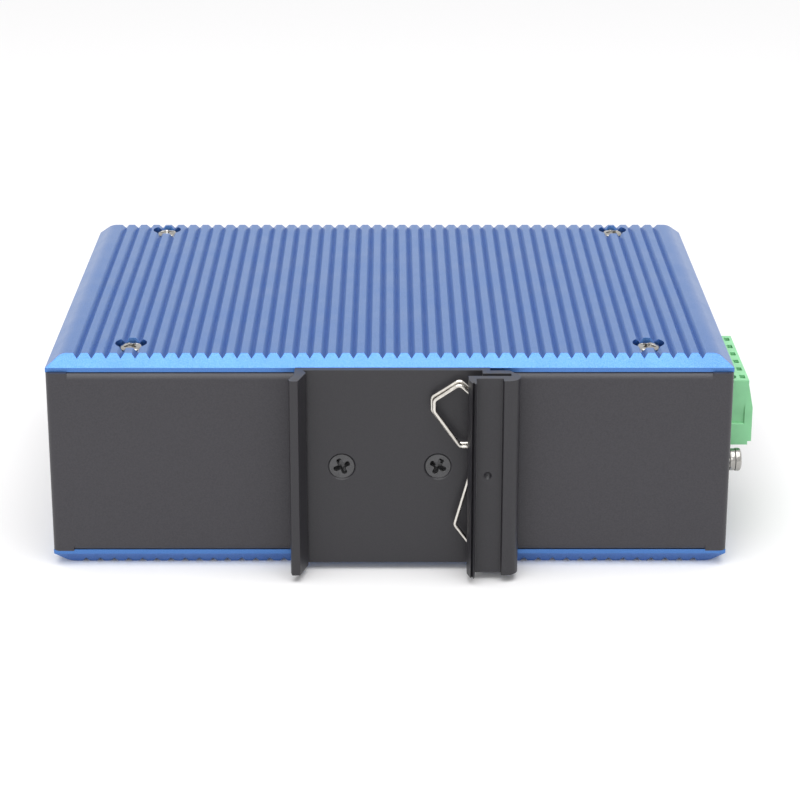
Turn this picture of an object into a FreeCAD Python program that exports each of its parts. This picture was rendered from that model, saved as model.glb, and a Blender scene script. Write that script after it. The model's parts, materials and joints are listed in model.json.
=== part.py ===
import FreeCAD, Part
import math
import operator
import os
from types import SimpleNamespace

import Sketcher

# DIN rail ethernet switch, lying on its side.
#   X  along the housing's height, +X towards the end with the power terminals
#   Y  along its depth, the rail clip at the rear (-Y), the ports at the front (+Y)
#   Z  across its width, from the lower ribbed plate (0) to the upper one
# The origin is the middle of the face that it rests on.

doc = FreeCAD.newDocument("RailSwitch")

# --------------------------------------------------------------------------
# Driving dimensions, in millimetres
# --------------------------------------------------------------------------

SIZES = (
    # housing
    ("case_height", 142.0),
    ("case_depth", 104.0),
    ("case_width", 46.6),
    ("sheet", 1.0),
    ("sheet_bend", 0.5),
    ("flange_relief", 4.4),
    ("rear_flange", 16.0),
    ("front_flange", 13.0),
    ("front_tab", 12.0),
    ("slip_gap", 0.1),
    # ribbed side plates
    ("plate_thick", 3.5),
    ("plate_setback", 0.8),
    ("side_band", 0.9),
    ("side_bevel_run", 3.2),
    ("side_round", 3.2),
    ("end_band", 0.95),
    ("end_bevel_run", 2.1),
    ("groove_pitch", 3.0),
    ("groove_width", 1.6),
    ("groove_depth", 1.0),
    ("groove_margin", 5.0),
    # plate screws, M3 pan head in round recesses
    ("plate_screw_inset", 17.0),
    ("rear_screw_inset", 9.6),
    ("front_screw_inset", 7.4),
    ("recess_radius", 3.3),
    ("recess_depth", 2.4),
    ("screw_radius", 1.5),
    ("screw_clearance", 0.1),
    ("pan_head_radius", 2.6),
    ("pan_head_height", 2.0),
    ("pan_head_chamfer", 0.7),
    ("cross_length", 2.9),
    ("cross_width", 0.7),
    ("cross_depth", 0.9),
    ("plate_screw_length", 4.5),
    ("screw_tip_gap", 0.3),
    # rail bracket, an extrusion; distances out are measured from the rear wall
    ("bracket_low_margin", 1.65),
    ("bracket_high_margin", 2.15),
    ("base_thick", 1.85),
    ("base_right", 20.6),
    ("hook_left", 19.55),
    ("hook_wall", 1.8),
    ("hook_knee_out", 4.85),
    ("hook_shoulder_rise", 2.6),
    ("hook_shoulder_lean", 1.05),
    ("hook_tip_rise", 1.35),
    ("hook_tip_lean", 0.8),
    ("hook_tip_inset", 0.9),
    ("hook_tooth", 0.65),
    ("hook_tooth_rise", 1.55),
    ("strip_left", 18.9),
    ("strip_thick", 2.05),
    ("slot_gap", 1.4),
    ("slot_web", 1.85),
    ("outer_wall", 1.8),
    ("lip_left", 16.0),
    ("lip_width", 1.6),
    ("lip_rise", 3.5),
    ("lip_foot", 0.8),
    ("lip_step", 0.3),
    ("lip_shoulder_drop", 0.5),
    ("lip_notch_drop", 1.15),
    ("lip_corner_drop", 0.7),
    ("rib_left", 23.1),
    ("rib_rise", 1.63),
    ("rib_round", 2.6),
    ("bracket_right", 26.6),
    ("slant_run", 2.1),
    ("slant_rise", 3.1),
    ("corner_round", 0.3),
    ("dimple_x", 20.1),
    ("dimple_radius", 0.85),
    ("dimple_depth", 0.7),
    # bracket screws, M3 countersunk
    ("bracket_screw_x", 10.0),
    ("sink_rim_radius", 2.95),
    ("sink_depth", 1.4),
    ("sink_head_radius", 2.65),
    ("sink_recess", 0.15),
    ("bracket_screw_length", 6.0),
    ("collar_radius", 2.4),
    ("collar_height", 1.2),
    # bent wire spring
    ("wire_radius", 0.4),
    ("wire_bend", 1.1),
    ("wire_slot_gap", 0.15),
    ("wire_layer_gap", 0.06),
    # pluggable power terminal
    ("pole_count", 6.0),
    ("pole_pitch", 5.08),
    ("plug_rear_inset", 15.5),
    ("plug_drop", 6.95),
    ("plug_height", 14.6),
    ("plug_reach", 6.5),
    ("plug_top_reach", 5.5),
    ("plug_top_band", 1.0),
    ("plug_slope", 5.15),
    ("plug_sill", 0.8),
    ("plug_tongue_low", 1.1),
    ("plug_tongue_height", 6.4),
    ("plug_tongue_length", 8.4),
    ("plug_body_length", 9.2),
    ("scoop_depth", 0.9),
    ("scoop_ledge", 4.95),
    ("scoop_rise", 4.5),
    ("scoop_inset", 1.7),
    ("wire_entry", 3.7),
    ("entry_low", 2.6),
    ("probe_length", 2.2),
    ("probe_width", 1.1),
    ("probe_reach", 4.3),
    ("probe_depth", 3.0),
    ("well_radius", 1.6),
    ("well_reach", 1.4),
    ("clamp_head_radius", 1.45),
    ("clamp_slot_width", 0.5),
    ("clamp_slot_depth", 0.8),
    ("clamp_sink", 2.4),
    ("cage_wall", 0.5),
    ("cage_length", 4.2),
    ("cage_reach", 4.6),
    ("pin_size", 1.0),
    ("pin_gap", 0.25),
    ("pin_tail", 2.0),
    ("header_wall", 0.9),
    ("header_back", 1.6),
    ("header_gap", 0.2),
    ("terminal_cut_gap", 0.5),
    # ground screw
    ("ground_inset", 9.0),
    ("ground_drop", 2.6),
    ("ground_head_radius", 2.45),
    ("ground_head_height", 1.5),
    ("ground_screw_length", 8.0),
    ("star_radius", 2.6),
    ("star_thick", 0.9),
    ("star_teeth", 10.0),
    ("star_tooth_depth", 0.5),
    ("spring_washer_radius", 2.35),
    ("spring_washer_thick", 1.2),
    ("spring_washer_split", 0.5),
    # main board
    ("board_thick", 1.6),
    ("board_rise", 8.5),
    ("board_end_gap", 5.0),
    ("board_rear_gap", 5.0),
    ("board_front_gap", 0.4),
    ("board_corner", 1.0),
    ("standoff_across", 5.5),
    ("standoff_inset", 4.5),
    ("standoff_rear_inset", 9.0),
    ("standoff_front_inset", 44.0),
    ("board_screw_length", 5.0),
    # row of ports, cages and lights along the front
    ("row_left_inset", 10.8),
    ("row_right_inset", 8.7),
    ("front_recess", 0.2),
    ("window_gap", 0.3),
    # port jacks, stacked in pairs
    ("jack_count", 4.0),
    ("jack_gap", 0.4),
    ("jack_width", 16.4),
    ("jack_depth", 25.0),
    ("shield", 0.3),
    ("port_width", 11.8),
    ("port_height", 7.0),
    ("port_depth", 15.0),
    ("port_base", 6.3),
    ("port_roof", 6.5),
    ("key_width", 6.0),
    ("key_height", 1.7),
    ("contact_count", 8.0),
    ("contact_pitch", 1.02),
    ("contact_width", 0.46),
    ("contact_thick", 0.4),
    ("contact_length", 8.0),
    ("contact_inset", 3.0),
    # fibre module cages
    ("module_count", 2.0),
    ("module_gap", 0.6),
    ("module_width", 14.0),
    ("module_height", 9.0),
    ("module_depth", 47.0),
    ("module_wall", 0.4),
    ("module_socket_width", 11.6),
    ("module_socket_height", 6.4),
    ("module_socket_depth", 7.0),
    # status lights
    ("light_columns_gap", 4.2),
    ("light_rows", 5.0),
    ("light_first_rise", 4.0),
    ("light_last_drop", 2.6),
    ("light_size", 2.8),
    ("light_hole_gap", 0.1),
    ("light_block_width", 8.6),
    ("light_block_drop", 0.8),
    ("light_block_depth", 5.0),
    ("light_length", 2.2),
    # power board
    ("power_board_rear_inset", 6.0),
    ("power_board_depth", 43.0),
    ("power_board_drop", 2.5),
    ("link_pitch", 2.54),
    ("link_count", 10.0),
    # parts on the boards
    ("chip_size", 20.0),
    ("chip_height", 1.8),
    ("pad_thick", 0.7),
    ("block_size", 26.0),
    ("chip_x", -10.0),
    ("chip_y", 8.0),
    ("transformer_length", 15.0),
    ("transformer_depth", 11.0),
    ("transformer_height", 6.0),
    ("transformer_gap", 2.0),
    ("inductor_size", 12.5),
    ("inductor_height", 7.0),
    ("inductor_x", 30.0),
    ("inductor_y", -14.0),
    ("capacitor_count", 3.0),
    ("capacitor_radius", 5.0),
    ("capacitor_height", 16.0),
    ("capacitor_x", -52.0),
    ("capacitor_y", -24.0),
    ("capacitor_pitch", 11.5),
    ("converter_length", 32.0),
    ("converter_depth", 20.0),
    ("converter_height", 10.0),
    ("converter_x", -4.0),
    ("converter_y", -30.0),
    ("relay_length", 15.0),
    ("relay_depth", 10.0),
    ("relay_height", 10.5),
    ("relay_x", 34.0),
    ("relay_y", -34.0),
)

sheet = doc.addObject("Spreadsheet::Sheet", "Sizes")
for row, (alias, number) in enumerate(SIZES, start=1):
    sheet.set("A%d" % row, alias)
    sheet.set("B%d" % row, str(number))
    sheet.setAlias("B%d" % row, alias)
doc.recompute()


class Size:
    """A dimension: the sheet expression that gives it, and its value now."""

    def __init__(self, text, value):
        self.text = text
        self.value = value

    def __add__(self, other):
        return joined(self, "+", other)

    def __radd__(self, other):
        return joined(other, "+", self)

    def __sub__(self, other):
        return joined(self, "-", other)

    def __rsub__(self, other):
        return joined(other, "-", self)

    def __mul__(self, other):
        return joined(self, "*", other)

    def __rmul__(self, other):
        return joined(other, "*", self)

    def __truediv__(self, other):
        return joined(self, "/", other)

    def __neg__(self):
        return joined(0, "-", self)


SIGNS = {"+": operator.add, "-": operator.sub, "*": operator.mul, "/": operator.truediv}


def sized(item):
    """A Size as it is, or a plain number as a Size."""
    if isinstance(item, Size):
        return item
    return Size("(%r)" % float(item), float(item))


def floored(size):
    return Size("floor(%s)" % size.text, math.floor(size.value))


def joined(left, sign, right):
    left = sized(left)
    right = sized(right)
    return Size("(%s %s %s)" % (left.text, sign, right.text), SIGNS[sign](left.value, right.value))


S = SimpleNamespace(**{alias: Size("Sizes." + alias, number) for alias, number in SIZES})

# --------------------------------------------------------------------------
# Drawing helpers: every length that they set is bound to the sheet
# --------------------------------------------------------------------------

PLANES = {"XY": ("XY_Plane", 1), "XZ": ("XZ_Plane", -1), "YZ": ("YZ_Plane", 1)}
TURNS = {
    "X": FreeCAD.Rotation(FreeCAD.Vector(0, 1, 0), 90),
    "Y": FreeCAD.Rotation(FreeCAD.Vector(1, 0, 0), -90),
    "Z": FreeCAD.Rotation(),
}
SUBPARTS = []


def keep(item):
    """Marks an object as one of the pieces that are written out."""
    SUBPARTS.append(item)
    return item


def bind(item, path, size):
    item.setExpression(path, sized(size).text)


def bind_place(item, place):
    for axis, size in zip("xyz", place):
        bind(item, ".Placement.Base." + axis, size)


def origin_part(body, role):
    return next(part for part in body.Origin.OriginFeatures if part.Role == role)


def corner_point(corner):
    return FreeCAD.Vector(sized(corner[0]).value, sized(corner[1]).value, 0)


def draw_outline(sketch, corners):
    """A closed outline through corners (u, v) or (u, v, radius), each bound to the sheet."""
    count = len(corners)
    points = [corner_point(corner) for corner in corners]
    enter = []
    leave = []
    for index, corner in enumerate(corners):
        to_last = (points[index - 1] - points[index]).normalize()
        to_next = (points[(index + 1) % count] - points[index]).normalize()
        reach = 0.0
        if len(corner) > 2:
            reach = sized(corner[2]).value / math.tan(to_last.getAngle(to_next) / 2)
        enter.append(points[index] + to_last * reach)
        leave.append(points[index] + to_next * reach)

    lines = []
    for index in range(count):
        segment = Part.LineSegment(leave[index], enter[(index + 1) % count])
        lines.append(sketch.addGeometry(segment, False))

    rules = []
    bindings = []

    def fix(geometry, vertex, corner):
        bindings.append((len(rules), corner[0]))
        rules.append(Sketcher.Constraint("DistanceX", -1, 1, geometry, vertex, sized(corner[0]).value))
        bindings.append((len(rules), corner[1]))
        rules.append(Sketcher.Constraint("DistanceY", -1, 1, geometry, vertex, sized(corner[1]).value))

    for index, corner in enumerate(corners):
        before = lines[index - 1]
        after = lines[index]
        if len(corner) == 2:
            rules.append(Sketcher.Constraint("Coincident", before, 2, after, 1))
            fix(after, 1, corner)
            continue
        radius = sized(corner[2])
        to_last = (enter[index] - points[index]).normalize()
        to_next = (leave[index] - points[index]).normalize()
        middle = (to_last + to_next).normalize()
        centre = points[index] + middle * (radius.value / math.sin(to_last.getAngle(to_next) / 2))
        arc = sketch.addGeometry(Part.Arc(enter[index], centre - middle * radius.value, leave[index]), False)
        mark = sketch.addGeometry(Part.Point(points[index]), True)
        fix(mark, 1, corner)
        rules.append(Sketcher.Constraint("PointOnObject", mark, 1, before))
        rules.append(Sketcher.Constraint("PointOnObject", mark, 1, after))
        clockwise = (to_last.cross(to_next)).z > 0
        first, last = (2, 1) if clockwise else (1, 2)
        rules.append(Sketcher.Constraint("Tangent", before, 2, arc, first))
        rules.append(Sketcher.Constraint("Tangent", after, 1, arc, last))
        bindings.append((len(rules), radius))
        rules.append(Sketcher.Constraint("Radius", arc, radius.value))

    base = sketch.ConstraintCount
    sketch.addConstraint(rules)
    for index, size in bindings:
        bind(sketch, "Constraints[%d]" % (base + index), size)


def draw_circle(sketch, centre, radius):
    circle = Part.Circle(corner_point(centre), FreeCAD.Vector(0, 0, 1), sized(radius).value)
    circle = sketch.addGeometry(circle, False)
    base = sketch.ConstraintCount
    sketch.addConstraint([
        Sketcher.Constraint("DistanceX", -1, 1, circle, 3, sized(centre[0]).value),
        Sketcher.Constraint("DistanceY", -1, 1, circle, 3, sized(centre[1]).value),
        Sketcher.Constraint("Radius", circle, sized(radius).value),
    ])
    for step, size in enumerate((centre[0], centre[1], radius)):
        bind(sketch, "Constraints[%d]" % (base + step), size)


def sketch_on(body, plane, offset):
    sketch = body.newObject("Sketcher::SketchObject", body.Name + "_sketch")
    sketch.AttachmentSupport = [(origin_part(body, PLANES[plane][0]), "")]
    sketch.MapMode = "FlatFace"
    bind(sketch, "AttachmentOffset.Base.z", offset)
    return sketch


def layer(body, plane, low, high, outlines=(), circles=(), cut=False):
    """Adds, or cuts, the sketched outlines between two levels across a plane."""
    side = PLANES[plane][1]
    start = low if (side > 0) != cut else high
    sketch = sketch_on(body, plane, sized(start) * side)
    for corners in outlines:
        draw_outline(sketch, corners)
    for centre, radius in circles:
        draw_circle(sketch, centre, radius)
    kind = "Pocket" if cut else "Pad"
    feature = body.newObject("PartDesign::" + kind, body.Name + "_" + kind)
    feature.Profile = sketch
    bind(feature, "Length", sized(high) - low)
    return feature


def repeat(body, features, axis, length, count):
    """Repeats features along an axis of the body, spread over a length."""
    pattern = body.newObject("PartDesign::LinearPattern", body.Name + "_row")
    pattern.Originals = features
    pattern.Direction = (origin_part(body, axis + "_Axis"), [""])
    bind(pattern, "Length", length)
    bind(pattern, "Occurrences", count)
    body.Tip = pattern
    return pattern


def turned(body, corners):
    """Turns a half outline, drawn to the right of the Z axis, once round it."""
    sketch = sketch_on(body, "XZ", 0)
    draw_outline(sketch, corners)
    feature = body.newObject("PartDesign::Revolution", body.Name + "_turn")
    feature.Profile = sketch
    feature.ReferenceAxis = (sketch, ["V_Axis"])
    feature.Angle = 360
    return feature


def bored(body, z, corners):
    """Cuts a half outline, at the level z, once round the line from its last corner to its first."""
    sketch = sketch_on(body, "XY", z)
    draw_outline(sketch, corners)
    ends = [corner_point(corners[0]), corner_point(corners[-1])]
    axis = sketch.addGeometry(Part.LineSegment(*ends), True)
    sketch.addConstraint([
        Sketcher.Constraint("Coincident", axis, 1, 0, 1),
        Sketcher.Constraint("Coincident", axis, 2, len(corners) - 1, 1),
    ])
    feature = body.newObject("PartDesign::Groove", body.Name + "_bore")
    feature.Profile = sketch
    feature.ReferenceAxis = (sketch, ["Axis0"])
    feature.Angle = 360
    return feature


def new_body(label):
    return doc.addObject("PartDesign::Body", label)


def rectangle(u_low, u_high, v_low, v_high, radius=None):
    corners = [(u_low, v_low), (u_high, v_low), (u_high, v_high), (u_low, v_high)]
    if radius is None:
        return corners
    return [corner + (radius,) for corner in corners]


def block(label, x_span, y_span, z_span):
    box = doc.addObject("Part::Box", label)
    for side, span in zip(("Length", "Width", "Height"), (x_span, y_span, z_span)):
        bind(box, side, sized(span[1]) - span[0])
    bind_place(box, (x_span[0], y_span[0], z_span[0]))
    return box


def rod(label, axis, start, radius, length):
    cylinder = doc.addObject("Part::Cylinder", label)
    cylinder.Placement = FreeCAD.Placement(FreeCAD.Vector(), TURNS[axis])
    bind(cylinder, "Radius", radius)
    bind(cylinder, "Height", length)
    bind_place(cylinder, start)
    return cylinder


def cut_from(label, base, tool):
    result = doc.addObject("Part::Cut", label)
    result.Base = base
    result.Tool = tool
    return result


def group(label, items):
    result = doc.addObject("Part::Compound", label)
    result.Links = items
    return result


def copies(label, master, places, turn=FreeCAD.Rotation(), twists=None):
    """One group of copies of a master piece, each at its own place and twisted round its own axis."""
    links = []
    for index, place in enumerate(places):
        twist = twists[index] if twists else 0
        link = doc.addObject("App::Link", "%s_copy_%d" % (label, index + 1))
        link.LinkedObject = master
        link.Placement = FreeCAD.Placement(FreeCAD.Vector(), turn * FreeCAD.Rotation(FreeCAD.Vector(0, 0, 1), twist))
        bind_place(link, place)
        links.append(link)
    return group(label, links)


# --------------------------------------------------------------------------
# Levels that more than one piece shares
# --------------------------------------------------------------------------

TOP = S.case_height / 2
FRONT = S.case_depth / 2
REAR = -FRONT
MIDDLE = S.case_width / 2
LOW = S.plate_thick
HIGH = S.case_width - S.plate_thick
BOARD_LOW = LOW + S.board_rise
BOARD_TOP = BOARD_LOW + S.board_thick
FLANGE_END = TOP - S.flange_relief
BEND_OUTER = S.sheet_bend + S.sheet
FOLD_RISE = BEND_OUTER + S.sheet_bend
SCREW_HOLE = S.screw_radius + S.screw_clearance

PLATE_SCREW_X = TOP - S.plate_screw_inset
PLATE_SCREW_SEAT = S.plate_thick - S.recess_depth
PLATE_SCREW_SPOTS = [
    (side * PLATE_SCREW_X, y)
    for side in (-1, 1)
    for y in (REAR + S.rear_screw_inset, FRONT - S.front_screw_inset)
]

# Power terminal and ground screw
PLUG_HIGH = HIGH - S.plug_drop
PLUG_LOW = PLUG_HIGH - S.plug_height
PLUG_NEAR = REAR + S.plug_rear_inset
PLUG_FAR = PLUG_NEAR + S.pole_count * S.pole_pitch
PLUG_FRONT = TOP + S.plug_reach
PLUG_BACK = PLUG_FRONT - S.plug_body_length
TONGUE_BACK = PLUG_BACK - S.plug_tongue_length
TONGUE_LOW = PLUG_LOW + S.plug_tongue_low
TONGUE_HIGH = TONGUE_LOW + S.plug_tongue_height
FIRST_POLE = PLUG_NEAR + S.pole_pitch / 2
POLE_ROW = S.pole_pitch * (S.pole_count - 1)
ENTRY_LOW = PLUG_LOW + S.entry_low
ENTRY_HIGH = ENTRY_LOW + S.wire_entry
PIN_Z = (TONGUE_LOW + TONGUE_HIGH) / 2
WELL_X = TOP + S.well_reach
CAGE_FRONT = TOP + S.cage_reach
CAGE_BACK = CAGE_FRONT - S.cage_length
HEADER_BACK = TONGUE_BACK - S.header_gap - S.header_back
HEADER_FRONT = PLUG_BACK - S.header_gap
POLES = range(int(S.pole_count.value))
GROUND_Z = MIDDLE - S.ground_drop

# Row of ports, fibre cages and lights; the cages stand midway between the other two
JACKS = range(int(S.jack_count.value))
JACK_PITCH = S.jack_width + S.jack_gap
JACKS_LEFT = S.row_left_inset - TOP
JACKS_RIGHT = JACKS_LEFT + S.jack_count * JACK_PITCH - S.jack_gap
JACK_TOP = HIGH + PLATE_SCREW_SEAT - S.plate_screw_length - S.screw_tip_gap
INSERT_FRONT = FRONT - S.front_recess
JACK_BACK = INSERT_FRONT - S.jack_depth
LIGHTS_RIGHT = TOP - S.row_right_inset
LIGHTS_LEFT = LIGHTS_RIGHT - S.light_block_width
LIGHT_BLOCK_HIGH = JACK_TOP - S.light_block_drop
MODULES = range(int(S.module_count.value))
CAGE_WIDTH = S.module_width + 2 * S.module_wall
CAGE_PITCH = CAGE_WIDTH + S.module_gap
CAGE_ROW = S.module_count * CAGE_PITCH - S.module_gap
MODULES_LEFT = (JACKS_RIGHT + LIGHTS_LEFT - CAGE_ROW) / 2
MODULES_RIGHT = MODULES_LEFT + CAGE_ROW
MODULE_TOP = BOARD_TOP + S.module_height + 2 * S.module_wall


def light_spots():
    """Where the light pipes come through: two columns, evenly spread up their block."""
    first = BOARD_TOP + S.light_first_rise
    pitch = (LIGHT_BLOCK_HIGH - S.light_last_drop - first) / (S.light_rows - 1)
    middle = (LIGHTS_LEFT + LIGHTS_RIGHT) / 2
    rows = range(int(S.light_rows.value))
    return [(middle + side * S.light_columns_gap / 2, first + row * pitch) for side in (-1, 1) for row in rows]


LIGHT_SPOTS = light_spots()


# --------------------------------------------------------------------------
# Folded steel housing
# --------------------------------------------------------------------------

def folded_flanges(body, wall, inside, depth):
    """Folds a flange along both long edges of a wall at Y = wall; inside is +1 or -1 along Y."""
    inner_face = wall + inside * S.sheet
    span = (wall, inner_face) if inside > 0 else (inner_face, wall)
    notches = [
        rectangle(-FLANGE_END, FLANGE_END, LOW, LOW + FOLD_RISE),
        rectangle(-FLANGE_END, FLANGE_END, HIGH - FOLD_RISE, HIGH),
    ]
    layer(body, "XZ", span[0], span[1], notches, cut=True)
    flanges = []
    for level, up in ((LOW, 1), (HIGH, -1)):
        flanges.append([
            (wall, level + up * FOLD_RISE),
            (wall, level, BEND_OUTER),
            (wall + inside * depth, level),
            (wall + inside * depth, level + up * S.sheet),
            (inner_face, level + up * S.sheet, S.sheet_bend),
            (inner_face, level + up * FOLD_RISE),
        ])
    layer(body, "YZ", -FLANGE_END, FLANGE_END, flanges)


def terminal_cut():
    gap = S.terminal_cut_gap
    return rectangle(PLUG_NEAR - gap, PLUG_FAR + gap, PLUG_LOW - gap, PLUG_HIGH + gap, S.corner_round)


def rear_chassis():
    """One sheet: the rear wall, both end walls and the two rear flanges."""
    body = new_body("rear_chassis")
    inner = TOP - S.sheet
    wall_front = FRONT - S.sheet
    channel = [
        (-TOP, wall_front),
        (-TOP, REAR, BEND_OUTER),
        (TOP, REAR, BEND_OUTER),
        (TOP, wall_front),
        (inner, wall_front),
        (inner, REAR + S.sheet, S.sheet_bend),
        (-inner, REAR + S.sheet, S.sheet_bend),
        (-inner, wall_front),
    ]
    layer(body, "XY", LOW, HIGH, [channel])
    folded_flanges(body, REAR, 1, S.rear_flange)
    collars = [((side * S.bracket_screw_x, MIDDLE), S.collar_radius) for side in (-1, 1)]
    layer(body, "XZ", REAR + S.sheet, REAR + S.sheet + S.collar_height, circles=collars)
    threads = [((side * S.bracket_screw_x, MIDDLE), SCREW_HOLE) for side in (-1, 1)]
    layer(body, "XZ", REAR, REAR + S.sheet + S.collar_height, circles=threads, cut=True)
    layer(body, "YZ", inner, TOP, [terminal_cut()], [((REAR + S.ground_inset, GROUND_Z), SCREW_HOLE)], cut=True)
    flange_holes = [((side * PLATE_SCREW_X, REAR + S.rear_screw_inset), SCREW_HOLE) for side in (-1, 1)]
    layer(body, "XY", LOW, HIGH, circles=flange_holes, cut=True)
    return keep(body)



def front_panel():
    """The port wall, with its flanges and end tabs folded back inside the end walls."""
    body = new_body("front_panel")
    layer(body, "XZ", FRONT - S.sheet, FRONT, [rectangle(-TOP, TOP, LOW, HIGH)])
    folded_flanges(body, FRONT, -1, S.front_flange)
    tab_outer = TOP - S.sheet - S.slip_gap
    tab_inner = tab_outer - S.sheet
    for low, high in ((-tab_outer, -tab_inner), (tab_inner, tab_outer)):
        tab = rectangle(FRONT - S.front_tab, FRONT - S.sheet, LOW + S.flange_relief, HIGH - S.flange_relief)
        layer(body, "YZ", low, high, [tab])
    gap = S.window_gap
    windows = [
        rectangle(JACKS_LEFT - gap, JACKS_RIGHT + gap, BOARD_TOP - gap, JACK_TOP + gap),
        rectangle(MODULES_LEFT - gap, MODULES_RIGHT + gap, BOARD_TOP - gap, MODULE_TOP + gap),
    ]
    half = S.light_size / 2 + S.light_hole_gap
    for x, z in LIGHT_SPOTS:
        windows.append(rectangle(x - half, x + half, z - half, z + half))
    layer(body, "XZ", FRONT - S.sheet, FRONT, windows, cut=True)
    flange_holes = [((side * PLATE_SCREW_X, FRONT - S.front_screw_inset), SCREW_HOLE) for side in (-1, 1)]
    layer(body, "XY", LOW, HIGH, circles=flange_holes, cut=True)
    return keep(body)


# --------------------------------------------------------------------------
# Ribbed side plates
# --------------------------------------------------------------------------

def side_plate(label, inner, out):
    """A ribbed plate whose flat face is at Z = inner; out is +1 upwards, -1 downwards."""
    body = new_body(label)

    def level(rise):
        return inner + out * sized(rise)

    def span(low, high):
        return (level(low), level(high)) if out > 0 else (level(high), level(low))

    thick = S.plate_thick
    rear = REAR + S.plate_setback
    front = FRONT - S.plate_setback
    section = [
        (-TOP, level(0)),
        (TOP, level(0)),
        (TOP, level(S.side_band)),
        (TOP - S.side_bevel_run, level(thick), S.side_round),
        (-TOP + S.side_bevel_run, level(thick), S.side_round),
        (-TOP, level(S.side_band)),
    ]
    layer(body, "XZ", rear, front, [section])
    bevels = []
    for edge, inside in ((rear, 1), (front, -1)):
        bevels.append([
            (edge, level(S.end_band)),
            (edge + inside * S.end_bevel_run, level(thick)),
            (edge, level(thick)),
        ])
    layer(body, "YZ", -TOP, TOP, bevels, cut=True)
    first = S.groove_pitch / 2
    grooves = [[
        (side * first - S.groove_width / 2, level(thick)),
        (side * first, level(thick - S.groove_depth)),
        (side * first + S.groove_width / 2, level(thick)),
    ] for side in (-1, 1)]
    steps = floored((TOP - S.groove_margin - first) / S.groove_pitch)
    for groove, side in zip(grooves, (-1, 1)):
        cut = layer(body, "XZ", rear, front, [groove], cut=True)
        row = repeat(body, [cut], "X", S.groove_pitch * steps, steps + 1)
        row.Reversed = side < 0
    recesses = [(spot, S.recess_radius) for spot in PLATE_SCREW_SPOTS]
    layer(body, "XY", *span(PLATE_SCREW_SEAT, thick), circles=recesses, cut=True)
    holes = [(spot, SCREW_HOLE) for spot in PLATE_SCREW_SPOTS]
    layer(body, "XY", *span(0, thick), circles=holes, cut=True)
    return keep(body)


# --------------------------------------------------------------------------
# Screws: each master stands on the origin, its seat at Z = 0 and its head up
# --------------------------------------------------------------------------

def cross_outline():
    reach = S.cross_length / 2
    half = S.cross_width / 2
    corners = []
    for u, v in ((1, 0), (0, 1), (-1, 0), (0, -1)):
        for side in (-1, 1):
            corners.append((u * reach - v * side * half, v * reach + u * side * half))
        inner_u = u - v
        inner_v = v + u
        corners.append((inner_u * half, inner_v * half))
    return corners


def pan_screw(label, head_radius, head_height, length):
    body = new_body(label)
    turned(body, [
        (0, -length),
        (S.screw_radius, -length),
        (S.screw_radius, 0),
        (head_radius, 0),
        (head_radius, head_height - S.pan_head_chamfer),
        (head_radius - S.pan_head_chamfer, head_height),
        (0, head_height),
    ])
    layer(body, "XY", head_height - S.cross_depth, head_height, [cross_outline()], cut=True)
    return body


def countersunk_screw(label):
    """Its flat head top is at Z = 0 and its cone below, so that it sits flush."""
    body = new_body(label)
    cone = S.sink_head_radius - S.screw_radius
    turned(body, [
        (0, -S.bracket_screw_length),
        (S.screw_radius, -S.bracket_screw_length),
        (S.screw_radius, -cone),
        (S.sink_head_radius, 0),
        (0, 0),
    ])
    layer(body, "XY", -S.cross_depth, sized(0), [cross_outline()], cut=True)
    return body


# How far each screw's cross ended up turned when it was tightened, in degrees.
PLATE_CROSS_TWISTS = (35, 10, 60, 25)
BRACKET_CROSS_TWISTS = (25, -28)


def plate_screws():
    master = pan_screw("plate_screw_master", S.pan_head_radius, S.pan_head_height, S.plate_screw_length)
    over = FreeCAD.Rotation(FreeCAD.Vector(1, 0, 0), 180)
    upper = [spot + (HIGH + PLATE_SCREW_SEAT,) for spot in PLATE_SCREW_SPOTS]
    lower = [spot + (LOW - PLATE_SCREW_SEAT,) for spot in PLATE_SCREW_SPOTS]
    keep(copies("upper_plate_screws", master, upper, twists=PLATE_CROSS_TWISTS))
    keep(copies("lower_plate_screws", master, lower, over, PLATE_CROSS_TWISTS))


# --------------------------------------------------------------------------
# Rail bracket, its screws and its spring
# --------------------------------------------------------------------------

STRIP_OUT = S.base_thick + S.strip_thick
SLOT_OUT = STRIP_OUT + S.slot_gap
WALL_OUT = SLOT_OUT + S.outer_wall
LIP_OUT = WALL_OUT + S.lip_rise
RIB_OUT = WALL_OUT + S.rib_rise
SLOT_END = S.bracket_right - S.slot_web
BRACKET_LOW = S.bracket_low_margin
BRACKET_HIGH = S.case_width - S.bracket_high_margin


def hook_outline():
    """The fixed hook over the rail's edge, from its outer foot round to its notch."""
    small = S.corner_round
    shoulder_out = S.hook_knee_out + S.hook_shoulder_rise
    tip_out = shoulder_out + S.hook_tip_rise
    notch_x = S.hook_left - S.hook_wall
    return [
        (S.hook_tooth - notch_x, S.base_thick + S.hook_tooth_rise, small),
        (S.hook_tip_inset - S.hook_left, tip_out, small),
        (-S.hook_left - S.hook_tip_lean, tip_out, small),
        (-S.hook_left - S.hook_shoulder_lean, shoulder_out),
        (-S.hook_left, S.hook_knee_out),
        (-S.hook_left, 0),
    ]


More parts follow.
